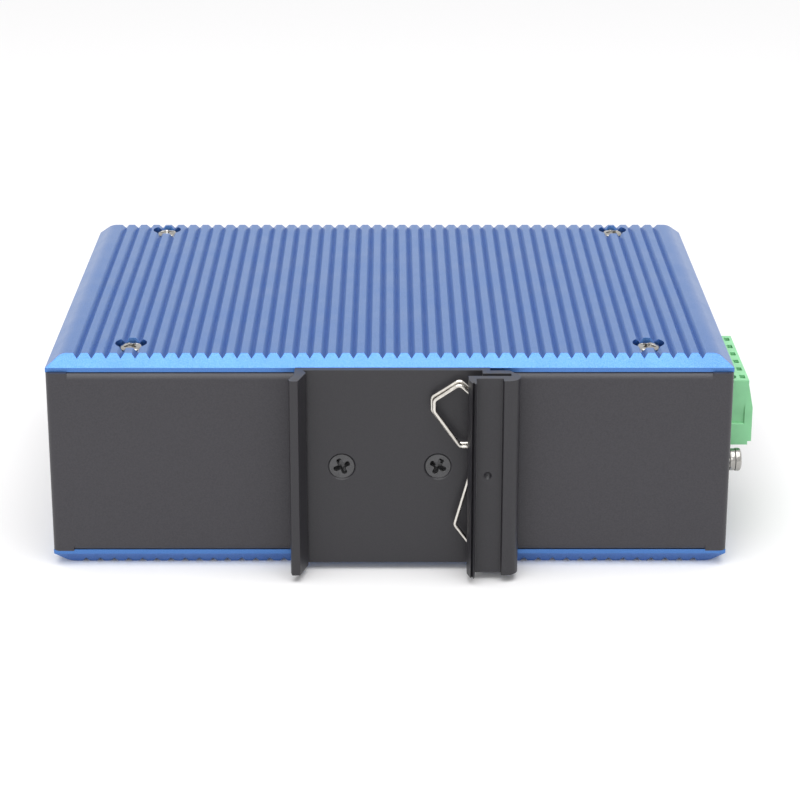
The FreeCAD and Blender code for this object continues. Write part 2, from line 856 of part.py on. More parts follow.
def din_rail_bracket():
    """One extrusion: hook, base, raised strip, spring slot, outer wall, lip and rib."""
    body = new_body("din_rail_bracket")
    small = S.corner_round
    lip_right = S.lip_left + S.lip_width
    section = hook_outline() + [
        (S.base_right, 0),
        (S.base_right, S.base_thick),
        (S.bracket_right - S.slant_run, S.base_thick, small),
        (S.bracket_right, S.base_thick + S.slant_rise, small),
        (S.bracket_right, RIB_OUT, S.rib_round),
        (S.rib_left, RIB_OUT, small),
        (S.rib_left, WALL_OUT, small),
        (lip_right, WALL_OUT, small),
        (lip_right, LIP_OUT - S.lip_corner_drop),
        (lip_right - S.lip_step, LIP_OUT),
        (lip_right - 2 * S.lip_step, LIP_OUT - S.lip_notch_drop),
        (lip_right - 3 * S.lip_step, LIP_OUT - S.lip_shoulder_drop),
        (S.lip_left, WALL_OUT + S.lip_foot),
        (S.lip_left, SLOT_OUT),
        (SLOT_END, SLOT_OUT),
        (SLOT_END, STRIP_OUT),
        (S.strip_left, STRIP_OUT, small),
        (S.strip_left, S.base_thick),
        (S.hook_wall - S.hook_left, S.base_thick),
    ]
    outline = [(corner[0], REAR - corner[1]) + corner[2:] for corner in section]
    layer(body, "XY", BRACKET_LOW, BRACKET_HIGH, [outline])
    return keep(body)


def sink_holes(bracket):
    """Screw holes with countersinks through the base, and the stake mark over the slot."""
    spots = [((side * S.bracket_screw_x, MIDDLE), SCREW_HOLE) for side in (-1, 1)]
    layer(bracket, "XZ", REAR - S.base_thick, REAR, circles=spots, cut=True)
    face = REAR - S.base_thick
    for side in (-1, 1):
        x = side * S.bracket_screw_x
        bored(bracket, MIDDLE, [
            (x, face),
            (x + S.sink_rim_radius, face),
            (x + SCREW_HOLE, face + S.sink_depth),
            (x, face + S.sink_depth),
        ])
    wall = REAR - WALL_OUT
    bored(bracket, MIDDLE, [
        (S.dimple_x, wall),
        (S.dimple_x + S.dimple_radius, wall),
        (S.dimple_x, wall + S.dimple_depth),
    ])


def din_bracket_screws():
    master = countersunk_screw("bracket_screw_master")
    out = FreeCAD.Rotation(FreeCAD.Vector(1, 0, 0), 90)
    head = REAR - S.base_thick + S.sink_recess
    spots = [(side * S.bracket_screw_x, head, MIDDLE) for side in (-1, 1)]
    keep(copies("din_bracket_screws", master, spots, out, BRACKET_CROSS_TWISTS))


def bent_wire(points, bend, radius):
    """An eight-sided wire through points, with an arc of the bend radius at each inner point."""
    edges = []
    last = points[0]
    for before, here, after in zip(points, points[1:], points[2:]):
        to_last = (before - here).normalize()
        to_next = (after - here).normalize()
        half = to_last.getAngle(to_next) / 2
        reach = min(bend / math.tan(half), BEND_SHARE * (before - here).Length, BEND_SHARE * (after - here).Length)
        start = here + to_last * reach
        end = here + to_next * reach
        middle = (to_last + to_next).normalize()
        arc_radius = reach * math.tan(half)
        crown = here + middle * (arc_radius / math.sin(half) - arc_radius)
        edges.append(Part.LineSegment(last, start).toShape())
        edges.append(Part.Arc(start, crown, end).toShape())
        last = end
    edges.append(Part.LineSegment(last, points[-1]).toShape())
    path = Part.Wire(edges)
    along = (points[1] - points[0]).normalize()
    across = along.cross(FreeCAD.Vector(0, 1, 0)).normalize()
    corners = []
    for number in range(WIRE_SIDES + 1):
        turn = FreeCAD.Rotation(along, 360 * (number + 0.5) / WIRE_SIDES)
        corners.append(points[0] + turn.multVec(across) * (radius / math.cos(math.pi / WIRE_SIDES)))
    return path.makePipeShell([Part.makePolygon(corners)], True, False, 2)


WIRE_SIDES = 8
# The most of a straight between two bends that one bend may take.
BEND_SHARE = 0.45
# The spring's line, (x, z, layer): z is measured from the middle of the bracket,
# layer 0 lies in the slot and layer 1 one wire deeper.
SPRING_LINE = (
    (17.4, 16.8, 1.0),
    (14.3, 19.55, 1.0),
    (8.65, 15.85, 1.0),
    (8.65, 13.2, 1.0),
    (14.0, 5.8, 1.0),
    (17.65, 5.8, 1.0),
    (17.8, 8.5, 0.8),
    (17.8, 13.0, 0.1),
    (17.65, 15.9, 0.0),
    (14.25, 18.95, 0.0),
    (9.1, 15.5, 0.0),
    (9.1, 13.15, 0.0),
    (14.5, 5.5, 0.0),
    (20.6, 5.3, 0.0),
    (20.9, -0.6, 0.0),
    (16.6, -0.7, 0.0),
    (13.5, -11.9, 0.0),
    (16.6, -16.1, 0.0),
    (20.4, -17.4, 0.0),
)


def din_wire_spring():
    """One wire: a closed double loop above, the staked middle, and a single bump below."""
    wire_out = (STRIP_OUT + S.wire_slot_gap + S.wire_radius).value
    step = (2 * S.wire_radius + S.wire_layer_gap).value
    points = []
    for x, z, depth in SPRING_LINE:
        points.append(FreeCAD.Vector(x, REAR.value - wire_out + depth * step, MIDDLE.value + z))
    spring = doc.addObject("Part::Feature", "din_wire_spring")
    spring.Shape = bent_wire(points, S.wire_bend.value, S.wire_radius.value)
    return keep(spring)


# --------------------------------------------------------------------------
# Power terminal and ground screw
# --------------------------------------------------------------------------

def pole_y(number):
    return FIRST_POLE + number * S.pole_pitch


def terminal_plug():
    """The green plug: one moulding with a screw well, a probe slot and a wire entry per pole."""
    body = new_body("terminal_plug")
    top_front = TOP + S.plug_top_reach
    section = [
        (TONGUE_BACK, TONGUE_LOW),
        (PLUG_BACK, TONGUE_LOW),
        (PLUG_BACK, PLUG_LOW),
        (PLUG_FRONT - S.plug_sill, PLUG_LOW),
        (PLUG_FRONT - S.plug_sill, PLUG_LOW + S.plug_sill),
        (PLUG_FRONT, PLUG_LOW + S.plug_sill),
        (PLUG_FRONT, PLUG_HIGH - S.plug_top_band - S.plug_slope),
        (top_front, PLUG_HIGH - S.plug_top_band),
        (top_front, PLUG_HIGH),
        (PLUG_BACK, PLUG_HIGH),
        (PLUG_BACK, TONGUE_HIGH),
        (TONGUE_BACK, TONGUE_HIGH),
    ]
    layer(body, "XZ", PLUG_NEAR, PLUG_FAR, [section])
    ledge = PLUG_LOW + S.scoop_ledge
    scoops = []
    for end, inside in ((PLUG_NEAR, 1), (PLUG_FAR, -1)):
        scoops.append([(end, ledge), (end + inside * S.scoop_depth, ledge), (end, ledge + S.scoop_rise)])
    layer(body, "YZ", PLUG_BACK + S.scoop_inset, PLUG_FRONT - S.scoop_inset, scoops, cut=True)
    half = S.wire_entry / 2
    channel = S.pin_size / 2 + S.pin_gap
    entry = layer(body, "YZ", CAGE_BACK, PLUG_FRONT,
                  [rectangle(FIRST_POLE - half, FIRST_POLE + half, ENTRY_LOW, ENTRY_HIGH)], cut=True)
    pin_way = layer(body, "YZ", TONGUE_BACK, CAGE_BACK,
                    [rectangle(FIRST_POLE - channel, FIRST_POLE + channel, PIN_Z - channel, PIN_Z + channel)],
                    cut=True)
    well = layer(body, "XY", ENTRY_HIGH, PLUG_HIGH, circles=[((WELL_X, FIRST_POLE), S.well_radius)], cut=True)
    probe_x = TOP + S.probe_reach
    probe = layer(body, "XY", PLUG_HIGH - S.probe_depth, PLUG_HIGH,
                  [rectangle(probe_x - S.probe_width / 2, probe_x + S.probe_width / 2,
                             FIRST_POLE - S.probe_length / 2, FIRST_POLE + S.probe_length / 2)], cut=True)
    repeat(body, [entry, pin_way, well, probe], "Y", POLE_ROW, S.pole_count)
    return keep(body)


def terminal_wire_cages():
    """Six steel cages, each a square tube that the clamp screw closes."""
    cages = []
    half = S.wire_entry / 2
    for number in POLES:
        y = pole_y(number)
        name = "wire_cage_%d" % (number + 1)
        outer = block(name + "_outer", (CAGE_BACK, CAGE_FRONT), (y - half, y + half), (ENTRY_LOW, ENTRY_HIGH))
        inner = block(name + "_inner", (CAGE_BACK, CAGE_FRONT), (y - half + S.cage_wall, y + half - S.cage_wall),
                      (ENTRY_LOW + S.cage_wall, ENTRY_HIGH - S.cage_wall))
        cages.append(cut_from(name, outer, inner))
    return keep(group("terminal_wire_cages", cages))


def terminal_clamp_screws():
    """Slotted screws at the bottom of the wells, each standing on its cage."""
    body = new_body("clamp_screw_master")
    length = PLUG_HIGH - S.clamp_sink - ENTRY_HIGH
    layer(body, "XY", sized(0), length, circles=[((0, 0), S.clamp_head_radius)])
    slot = rectangle(-S.clamp_head_radius, S.clamp_head_radius, -S.clamp_slot_width / 2, S.clamp_slot_width / 2)
    layer(body, "XY", length - S.clamp_slot_depth, length, [slot], cut=True)
    return keep(copies("terminal_clamp_screws", body, [(WELL_X, pole_y(number), ENTRY_HIGH) for number in POLES]))


def terminal_header():
    """The board-mounted shroud that the plug's tongue slides into."""
    body = new_body("terminal_header")
    shell = S.header_wall + S.header_gap
    gap = S.header_gap
    layer(body, "YZ", HEADER_BACK, HEADER_FRONT,
          [rectangle(PLUG_NEAR - shell, PLUG_FAR + shell, TONGUE_LOW - shell, TONGUE_HIGH + shell)])
    layer(body, "YZ", HEADER_BACK + S.header_back, HEADER_FRONT,
          [rectangle(PLUG_NEAR - gap, PLUG_FAR + gap, TONGUE_LOW - gap, TONGUE_HIGH + gap)], cut=True)
    half = S.pin_size / 2
    hole = layer(body, "YZ", HEADER_BACK, HEADER_BACK + S.header_back,
                 [rectangle(FIRST_POLE - half, FIRST_POLE + half, PIN_Z - half, PIN_Z + half)], cut=True)
    repeat(body, [hole], "Y", POLE_ROW, S.pole_count)
    return keep(body)


def terminal_header_pins():
    half = S.pin_size / 2
    low = HEADER_BACK - S.board_thick - S.pin_tail
    high = CAGE_BACK + S.pin_size
    pins = []
    for number in POLES:
        y = pole_y(number)
        pins.append(block("header_pin_%d" % (number + 1), (low, high), (y - half, y + half),
                          (PIN_Z - half, PIN_Z + half)))
    return keep(group("terminal_header_pins", pins))


def ground_screw_set():
    """A pan head screw with a split washer and a toothed washer against the end wall."""
    out = FreeCAD.Rotation(FreeCAD.Vector(0, 1, 0), 90)
    y = REAR + S.ground_inset
    stack = S.star_thick + S.spring_washer_thick
    master = pan_screw("ground_screw_master", S.ground_head_radius, S.ground_head_height, S.ground_screw_length)
    keep(copies("ground_screw", master, [(TOP + stack, y, GROUND_Z)], out))

    star = new_body("star_washer_master")
    tooth = []
    count = int(S.star_teeth.value)
    for number in range(2 * count):
        angle = math.pi * number / count
        radius = S.star_radius if number % 2 == 0 else S.star_radius - S.star_tooth_depth
        tooth.append((math.cos(angle) * radius, math.sin(angle) * radius))
    layer(star, "XY", sized(0), S.star_thick, [tooth], [((0, 0), SCREW_HOLE)])
    keep(copies("ground_star_washer", star, [(TOP, y, GROUND_Z)], out))

    split = new_body("spring_washer_master")
    layer(split, "XY", sized(0), S.spring_washer_thick,
          circles=[((0, 0), S.spring_washer_radius), ((0, 0), SCREW_HOLE)])
    half = S.spring_washer_split / 2
    layer(split, "XY", sized(0), S.spring_washer_thick,
          [rectangle(-half, half, S.screw_radius, S.spring_washer_radius + half)], cut=True)
    keep(copies("ground_spring_washer", split, [(TOP + S.star_thick, y, GROUND_Z)], out))


# --------------------------------------------------------------------------
# Boards
# --------------------------------------------------------------------------

BOARD_END = TOP - S.board_end_gap
STANDOFF_SPOTS = [
    (side * (BOARD_END - S.standoff_inset), y)
    for side in (-1, 1)
    for y in (REAR + S.standoff_rear_inset, FRONT - S.standoff_front_inset)
]
POWER_BOARD_X = HEADER_BACK - S.board_thick
POWER_BOARD_REAR = REAR + S.power_board_rear_inset
POWER_BOARD_TOP = HIGH - S.sheet - S.power_board_drop


def main_board():
    body = new_body("main_board")
    outline = rectangle(-BOARD_END, BOARD_END, REAR + S.board_rear_gap, FRONT - S.sheet - S.board_front_gap,
                        S.board_corner)
    layer(body, "XY", BOARD_LOW, BOARD_TOP, [outline], [(spot, SCREW_HOLE) for spot in STANDOFF_SPOTS])
    return keep(body)


def board_standoffs():
    """Hexagonal pillars; the rear pair stands on the rear flange, the front pair on the plate."""
    pillars = []
    for index, spot in enumerate(STANDOFF_SPOTS):
        foot = LOW + S.sheet if index % 2 == 0 else LOW
        hexagon = doc.addObject("Part::Prism", "pillar_%d" % (index + 1))
        hexagon.Polygon = 6
        bind(hexagon, "Circumradius", S.standoff_across / math.sqrt(3))
        bind(hexagon, "Height", BOARD_LOW - foot)
        bind_place(hexagon, spot + (foot,))
        hole = rod("pillar_hole_%d" % (index + 1), "Z", spot + (foot,), SCREW_HOLE, BOARD_LOW - foot)
        pillars.append(cut_from("standoff_%d" % (index + 1), hexagon, hole))
    return keep(group("board_standoffs", pillars))


def board_screws():
    master = pan_screw("board_screw_master", S.pan_head_radius, S.pan_head_height, S.board_screw_length)
    return keep(copies("board_screws", master, [spot + (BOARD_TOP,) for spot in STANDOFF_SPOTS]))


def power_board():
    """The small upright board that carries the terminal header."""
    body = new_body("power_board")
    half = S.pin_size / 2
    holes = []
    for number in POLES:
        y = pole_y(number)
        holes.append(rectangle(y - half, y + half, PIN_Z - half, PIN_Z + half))
    outline = rectangle(POWER_BOARD_REAR, POWER_BOARD_REAR + S.power_board_depth, BOARD_TOP, POWER_BOARD_TOP,
                        S.board_corner)
    layer(body, "YZ", POWER_BOARD_X, HEADER_BACK, [outline] + holes)
    return keep(body)


def power_board_link():
    """Right-angle pins in a strip that joins the two boards."""
    last = (S.link_count - 1) * S.link_pitch
    start = POWER_BOARD_REAR + S.link_pitch
    strip = block("power_board_link", (POWER_BOARD_X - S.link_pitch, POWER_BOARD_X),
                  (start - S.link_pitch / 2, start + last + S.link_pitch / 2),
                  (BOARD_TOP, BOARD_TOP + S.link_pitch))
    return keep(strip)


# --------------------------------------------------------------------------
# Port jacks and fibre cages
# --------------------------------------------------------------------------

def jack_x(number):
    return JACKS_LEFT + S.jack_width / 2 + number * JACK_PITCH


def port_levels():
    """Middle height of each port of a stacked pair, and which way its latch slot points."""
    return ((BOARD_TOP + S.port_base, -1), (JACK_TOP - S.port_roof, 1))


def port_outline(middle, up):
    wide = S.port_width / 2
    slot = S.key_width / 2
    floor = middle - up * S.port_height / 2
    roof = middle + up * S.port_height / 2
    key = roof + up * S.key_height
    return [(-wide, floor), (wide, floor), (wide, roof), (slot, roof), (slot, key), (-slot, key), (-slot, roof),
            (-wide, roof)]


def jack_insert_master():
    body = new_body("jack_insert_master")
    half = S.jack_width / 2 - S.shield
    layer(body, "XZ", JACK_BACK + S.shield, INSERT_FRONT, [rectangle(-half, half, BOARD_TOP, JACK_TOP - S.shield)])
    ports = [port_outline(middle, up) for middle, up in port_levels()]
    layer(body, "XZ", INSERT_FRONT - S.port_depth, INSERT_FRONT, ports, cut=True)
    return body


def jack_shield_master():
    body = new_body("jack_shield_master")
    half = S.jack_width / 2
    layer(body, "XZ", JACK_BACK, INSERT_FRONT, [rectangle(-half, half, BOARD_TOP, JACK_TOP)])
    layer(body, "XZ", JACK_BACK + S.shield, INSERT_FRONT,
          [rectangle(-half + S.shield, half - S.shield, BOARD_TOP, JACK_TOP - S.shield)], cut=True)
    return body


CONTACTS = range(int(S.contact_count.value))


def jack_contacts_master():
    """Eight gold fingers on the wall of each port that faces its latch slot."""
    fingers = []
    row_half = (S.contact_count - 1) * S.contact_pitch / 2
    y_high = INSERT_FRONT - S.contact_inset
    y_low = y_high - S.contact_length
    for port, (middle, up) in enumerate(port_levels()):
        wall = middle - up * S.port_height / 2
        tip = wall + up * S.contact_thick
        z_span = (wall, tip) if up > 0 else (tip, wall)
        for number in CONTACTS:
            x = number * S.contact_pitch - row_half
            x_span = (x - S.contact_width / 2, x + S.contact_width / 2)
            fingers.append(block("finger_%d_%d" % (port + 1, number + 1), x_span, (y_low, y_high), z_span))
    return group("jack_contacts_master", fingers)


def port_jacks():
    shield = jack_shield_master()
    insert = jack_insert_master()
    contacts = jack_contacts_master()
    for number in JACKS:
        place = [(jack_x(number), 0, 0)]
        keep(copies("jack_%d_shield" % (number + 1), shield, place))
        keep(copies("jack_%d_insert" % (number + 1), insert, place))
        keep(copies("jack_%d_contacts" % (number + 1), contacts, place))


def module_cages():
    """Two folded cages for fibre modules, each over its own board connector."""
    wall = S.module_wall
    back = INSERT_FRONT - S.module_depth
    for number in MODULES:
        cage = new_body("module_cage_%d" % (number + 1))
        left = MODULES_LEFT + number * CAGE_PITCH
        right = left + CAGE_WIDTH
        layer(cage, "XZ", back, INSERT_FRONT, [rectangle(left, right, BOARD_TOP, MODULE_TOP)])
        layer(cage, "XZ", back + wall, INSERT_FRONT,
              [rectangle(left + wall, right - wall, BOARD_TOP + wall, MODULE_TOP - wall)], cut=True)
        margin = (CAGE_WIDTH - S.module_socket_width) / 2
        socket_back = back + wall
        socket_front = socket_back + S.module_socket_depth
        layer(cage, "XY", BOARD_TOP, BOARD_TOP + wall,
              [rectangle(left + margin, right - margin, socket_back, socket_front)], cut=True)
        keep(cage)
        keep(block("module_socket_%d" % (number + 1), (left + margin, right - margin),
                   (socket_back, socket_front), (BOARD_TOP, BOARD_TOP + S.module_socket_height)))


# --------------------------------------------------------------------------
# Status lights and the larger parts on the boards
# --------------------------------------------------------------------------

def status_lights():
    face = INSERT_FRONT - S.light_length
    keep(block("status_light_block", (LIGHTS_LEFT, LIGHTS_RIGHT), (face - S.light_block_depth, face),
               (BOARD_TOP, LIGHT_BLOCK_HIGH)))
    half = S.light_size / 2
    lights = []
    for number, (x, z) in enumerate(LIGHT_SPOTS):
        lights.append(block("light_%d" % (number + 1), (x - half, x + half), (face, INSERT_FRONT),
                            (z - half, z + half)))
    return keep(group("status_lights", lights))


def centred(label, x, y, length, depth, z_low, z_high):
    half_x = sized(length) / 2
    half_y = sized(depth) / 2
    return block(label, (x - half_x, x + half_x), (y - half_y, y + half_y), (z_low, z_high))


def board_parts():
    """The switch chip cooled through the lower plate, and the power parts on top."""
    chip_low = BOARD_LOW - S.chip_height
    pad_low = chip_low - S.pad_thick
    keep(centred("switch_chip", S.chip_x, S.chip_y, S.chip_size, S.chip_size, chip_low, BOARD_LOW))
    keep(centred("thermal_pad", S.chip_x, S.chip_y, S.chip_size, S.chip_size, pad_low, chip_low))
    keep(centred("heat_block", S.chip_x, S.chip_y, S.block_size, S.block_size, LOW, pad_low))

    transformers = []
    y = JACK_BACK - S.transformer_gap - S.transformer_depth / 2
    for number in JACKS:
        transformers.append(centred("transformer_%d" % (number + 1), jack_x(number), y, S.transformer_length,
                                    S.transformer_depth, BOARD_TOP, BOARD_TOP + S.transformer_height))
    keep(group("port_transformers", transformers))

    keep(centred("power_inductor", S.inductor_x, S.inductor_y, S.inductor_size, S.inductor_size, BOARD_TOP,
                 BOARD_TOP + S.inductor_height))
    keep(centred("power_converter", S.converter_x, S.converter_y, S.converter_length, S.converter_depth,
                 BOARD_TOP, BOARD_TOP + S.converter_height))
    keep(centred("alarm_relay", S.relay_x, S.relay_y, S.relay_length, S.relay_depth, BOARD_TOP,
                 BOARD_TOP + S.relay_height))
    cans = []
    for number in range(int(S.capacitor_count.value)):
        place = (S.capacitor_x + number * S.capacitor_pitch, S.capacitor_y, BOARD_TOP)
        cans.append(rod("can_%d" % (number + 1), "Z", place, S.capacitor_radius, S.capacitor_height))
    keep(group("smoothing_capacitors", cans))


# --------------------------------------------------------------------------
# Build, check and write
# --------------------------------------------------------------------------

rear_chassis()
front_panel()
side_plate("upper_side_plate", HIGH, 1)
side_plate("lower_side_plate", LOW, -1)
plate_screws()
sink_holes(din_rail_bracket())
din_bracket_screws()
din_wire_spring()
terminal_plug()
terminal_wire_cages()
terminal_clamp_screws()
terminal_header()
terminal_header_pins()
ground_screw_set()
main_board()
board_standoffs()
board_screws()
power_board()
power_board_link()
port_jacks()
module_cages()
status_lights()
board_parts()

doc.recompute()

for item in doc.Objects:
    for word in ("Invalid", "Error"):
        if word in item.State:
            raise RuntimeError("%s is in state %s" % (item.Label, item.State))
for item in SUBPARTS:
    if item.Shape.isNull() or not item.Shape.isValid():
        raise RuntimeError("%s has no valid shape" % item.Label)

os.makedirs("parts", exist_ok=True)
for item in SUBPARTS:
    item.Shape.exportStep("parts/%s.step" % item.Label)
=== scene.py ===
"""Looks of a rail-mounted network switch, lying on its side.

The row frame holds: +X towards the power plug, +Y from the rail bracket to the
port panel, +Z up through the housing's width. Lengths are in metres.
"""
import json
import math

import bmesh
import bpy
from mathutils import Euler, Matrix, Vector


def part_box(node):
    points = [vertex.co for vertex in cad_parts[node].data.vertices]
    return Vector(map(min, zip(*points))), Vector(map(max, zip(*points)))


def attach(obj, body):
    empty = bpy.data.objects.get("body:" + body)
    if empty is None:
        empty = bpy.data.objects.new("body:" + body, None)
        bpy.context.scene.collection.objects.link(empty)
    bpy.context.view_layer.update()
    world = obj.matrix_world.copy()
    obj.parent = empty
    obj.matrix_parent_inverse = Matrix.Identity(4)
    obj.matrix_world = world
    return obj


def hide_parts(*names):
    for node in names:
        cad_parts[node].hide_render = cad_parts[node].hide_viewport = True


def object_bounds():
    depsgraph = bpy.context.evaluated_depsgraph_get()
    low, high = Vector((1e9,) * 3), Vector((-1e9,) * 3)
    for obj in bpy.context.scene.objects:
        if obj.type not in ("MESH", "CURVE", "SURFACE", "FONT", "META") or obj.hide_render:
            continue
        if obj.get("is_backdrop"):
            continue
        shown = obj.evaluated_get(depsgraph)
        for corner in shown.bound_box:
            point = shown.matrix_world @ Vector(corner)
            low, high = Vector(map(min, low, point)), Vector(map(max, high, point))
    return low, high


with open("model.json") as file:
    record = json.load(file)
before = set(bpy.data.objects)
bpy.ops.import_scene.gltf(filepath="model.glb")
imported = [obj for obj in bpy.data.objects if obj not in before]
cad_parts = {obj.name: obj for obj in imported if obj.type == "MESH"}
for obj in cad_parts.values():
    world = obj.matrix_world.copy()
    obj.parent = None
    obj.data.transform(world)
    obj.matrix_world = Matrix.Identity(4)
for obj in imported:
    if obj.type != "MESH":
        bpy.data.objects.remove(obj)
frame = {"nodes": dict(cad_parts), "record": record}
solid_low, solid_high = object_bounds()
nodes = frame["nodes"]
scene = bpy.context.scene

MM = 0.001
ROOT = "root"
SAME_POINT = 0.001 * MM  # corners nearer than this are one
FLAT_WITHIN = math.radians(0.5)  # faces that turn by less are one flat face
SMOOTH_UNDER = math.radians(28)  # edges that turn by less are shaded smooth
EASE_OVER = math.radians(40)  # edges that turn by more are eased
SPIN_STEPS = 48


# ---------------------------------------------------------------- finishes

def new_finish(name, base, metallic, roughness):
    """A material with its shader, ready for a pattern."""
    material = bpy.data.materials.new(name)
    material.use_nodes = True
    shader = material.node_tree.nodes["Principled BSDF"]
    shader.inputs["Base Color"].default_value = (*base, 1.0)
    shader.inputs["Metallic"].default_value = metallic
    shader.inputs["Roughness"].default_value = roughness
    material.diffuse_color = (*base, 1.0)
    return material


def grain(material, size, stretch=(1.0, 1.0, 1.0), detail=2.0):
    """Noise whose grains are about `size` metres across, drawn out along an axis by stretch."""
    tree = material.node_tree
    where = tree.nodes.new("ShaderNodeTexCoord")
    place = tree.nodes.new("ShaderNodeMapping")
    place.inputs["Scale"].default_value = [1.0 / (size * s) for s in stretch]
    noise = tree.nodes.new("ShaderNodeTexNoise")
    noise.inputs["Scale"].default_value = 1.0
    noise.inputs["Detail"].default_value = detail
    tree.links.new(where.outputs["Object"], place.inputs["Vector"])
    tree.links.new(place.outputs["Vector"], noise.inputs["Vector"])
    return noise.outputs["Fac"]


def tint(material, amount, dark, light, spread=(0.3, 0.7)):
    """Base colour runs from dark to light with the amount."""
    tree = material.node_tree
    ramp = tree.nodes.new("ShaderNodeValToRGB")
    for stop, position, colour in zip(ramp.color_ramp.elements, spread, (dark, light)):
        stop.position = position
        stop.color = (*colour, 1.0)
    tree.links.new(amount, ramp.inputs["Fac"])
    tree.links.new(ramp.outputs["Color"], tree.nodes["Principled BSDF"].inputs["Base Color"])


def gloss(material, amount, low, high):
    """Roughness runs from low to high with the amount."""
    tree = material.node_tree
    spread = tree.nodes.new("ShaderNodeMapRange")
    spread.inputs["From Min"].default_value = 0.3
    spread.inputs["From Max"].default_value = 0.7
    spread.inputs["To Min"].default_value = low
    spread.inputs["To Max"].default_value = high
    tree.links.new(amount, spread.inputs["Value"])
    tree.links.new(spread.outputs["Result"], tree.nodes["Principled BSDF"].inputs["Roughness"])


def relief(material, amounts, depth):
    """Fine relief, `depth` metres deep, from the sum of the amounts."""
    tree = material.node_tree
    height = amounts[0]
    for other in amounts[1:]:
        add = tree.nodes.new("ShaderNodeMath")
        add.operation = "ADD"
        tree.links.new(height, add.inputs[0])
        tree.links.new(other, add.inputs[1])
        height = add.outputs["Value"]
    bump = tree.nodes.new("ShaderNodeBump")
    bump.inputs["Strength"].default_value = 1.0
    bump.inputs["Distance"].default_value = depth
    tree.links.new(height, bump.inputs["Height"])
    tree.links.new(bump.outputs["Normal"], tree.nodes["Principled BSDF"].inputs["Normal"])


def clear_layer(material, weight, roughness):
    """The clear oxide or lacquer over a finish."""
    shader = material.node_tree.nodes["Principled BSDF"]
    shader.inputs["Coat Weight"].default_value = weight
    shader.inputs["Coat Roughness"].default_value = roughness


def blue_anodised():
    """Blasted and dyed extrusion: fine speckle and faint die lines along the ribs."""
    finish = new_finish("blue_anodised", base=(0.055, 0.18, 0.46), metallic=1.0, roughness=0.4)
    speckle = grain(finish, size=0.16 * MM, detail=1.0)
    lines = grain(finish, size=0.12 * MM, stretch=(1.0, 160.0, 1.0))
    tint(finish, speckle, dark=(0.042, 0.160, 0.43), light=(0.098, 0.228, 0.57))
    gloss(finish, grain(finish, size=9 * MM), low=0.36, high=0.44)
    relief(finish, [speckle, lines], depth=0.02 * MM)
    clear_layer(finish, weight=0.46, roughness=0.26)
    return finish


def black_paint():
    """Fine-textured matt black paint on folded sheet."""
    finish = new_finish("black_paint", base=(0.02, 0.02, 0.022), metallic=0.0, roughness=0.5)
    texture = grain(finish, size=0.3 * MM)
    tint(finish, texture, dark=(0.030, 0.028, 0.034), light=(0.041, 0.039, 0.046))
    gloss(finish, grain(finish, size=14 * MM), low=0.40, high=0.48)
    relief(finish, [texture], depth=0.012 * MM)
    return finish


def black_anodised():
    """Satin black extrusion, drawn along Z."""
    finish = new_finish("black_anodised", base=(0.02, 0.02, 0.022), metallic=0.0, roughness=0.42)
    lines = grain(finish, size=0.1 * MM, stretch=(1.0, 1.0, 200.0))
    tint(finish, grain(finish, size=0.2 * MM), dark=(0.019, 0.018, 0.022), light=(0.026, 0.025, 0.029))
    gloss(finish, lines, low=0.38, high=0.46)
    relief(finish, [lines], depth=0.004 * MM)
    return finish


def shaded(base, factor):
    """A base colour made darker or lighter."""
    return [min(1.0, channel * factor) for channel in base]


def plain_metal(name, base, roughness, metallic=1.0):
    """Bare or plated metal with a light tarnish and fine tool marks."""
    finish = new_finish(name, base, metallic, roughness)
    cloud = grain(finish, size=1.2 * MM, detail=4.0)
    tint(finish, cloud, dark=shaded(base, 0.86), light=shaded(base, 1.08))
    gloss(finish, cloud, low=roughness - 0.05, high=roughness + 0.07)
    relief(finish, [grain(finish, size=0.25 * MM, stretch=(1.0, 1.0, 3.0))], depth=0.003 * MM)
    return finish


def moulding(name, base, roughness):
    """Moulded plastic with a spark-eroded skin."""
    finish = new_finish(name, base, metallic=0.0, roughness=roughness)
    skin = grain(finish, size=0.3 * MM)
    tint(finish, grain(finish, size=5 * MM), dark=shaded(base, 0.92), light=shaded(base, 1.06))
    gloss(finish, skin, low=roughness - 0.05, high=roughness + 0.05)
    relief(finish, [skin], depth=0.006 * MM)
    return finish


def circuit_board():
    """Solder mask over faint copper tracks."""
    finish = new_finish("circuit_board", base=(0.03, 0.2, 0.09), metallic=0.0, roughness=0.35)
    tracks = grain(finish, size=3 * MM, stretch=(1.0, 4.0, 1.0), detail=0.0)
    tint(finish, tracks, dark=(0.02, 0.14, 0.06), light=(0.045, 0.25, 0.11), spread=(0.48, 0.52))
    relief(finish, [tracks], depth=0.02 * MM)
    return finish


def light_lens():
    """Milky light pipe."""
    finish = moulding("light_lens", base=(0.72, 0.78, 0.74), roughness=0.25)
    shader = finish.node_tree.nodes["Principled BSDF"]
    shader.inputs["Subsurface Weight"].default_value = 0.2
    shader.inputs["Subsurface Radius"].default_value = (1 * MM, 1 * MM, 1 * MM)
    return finish


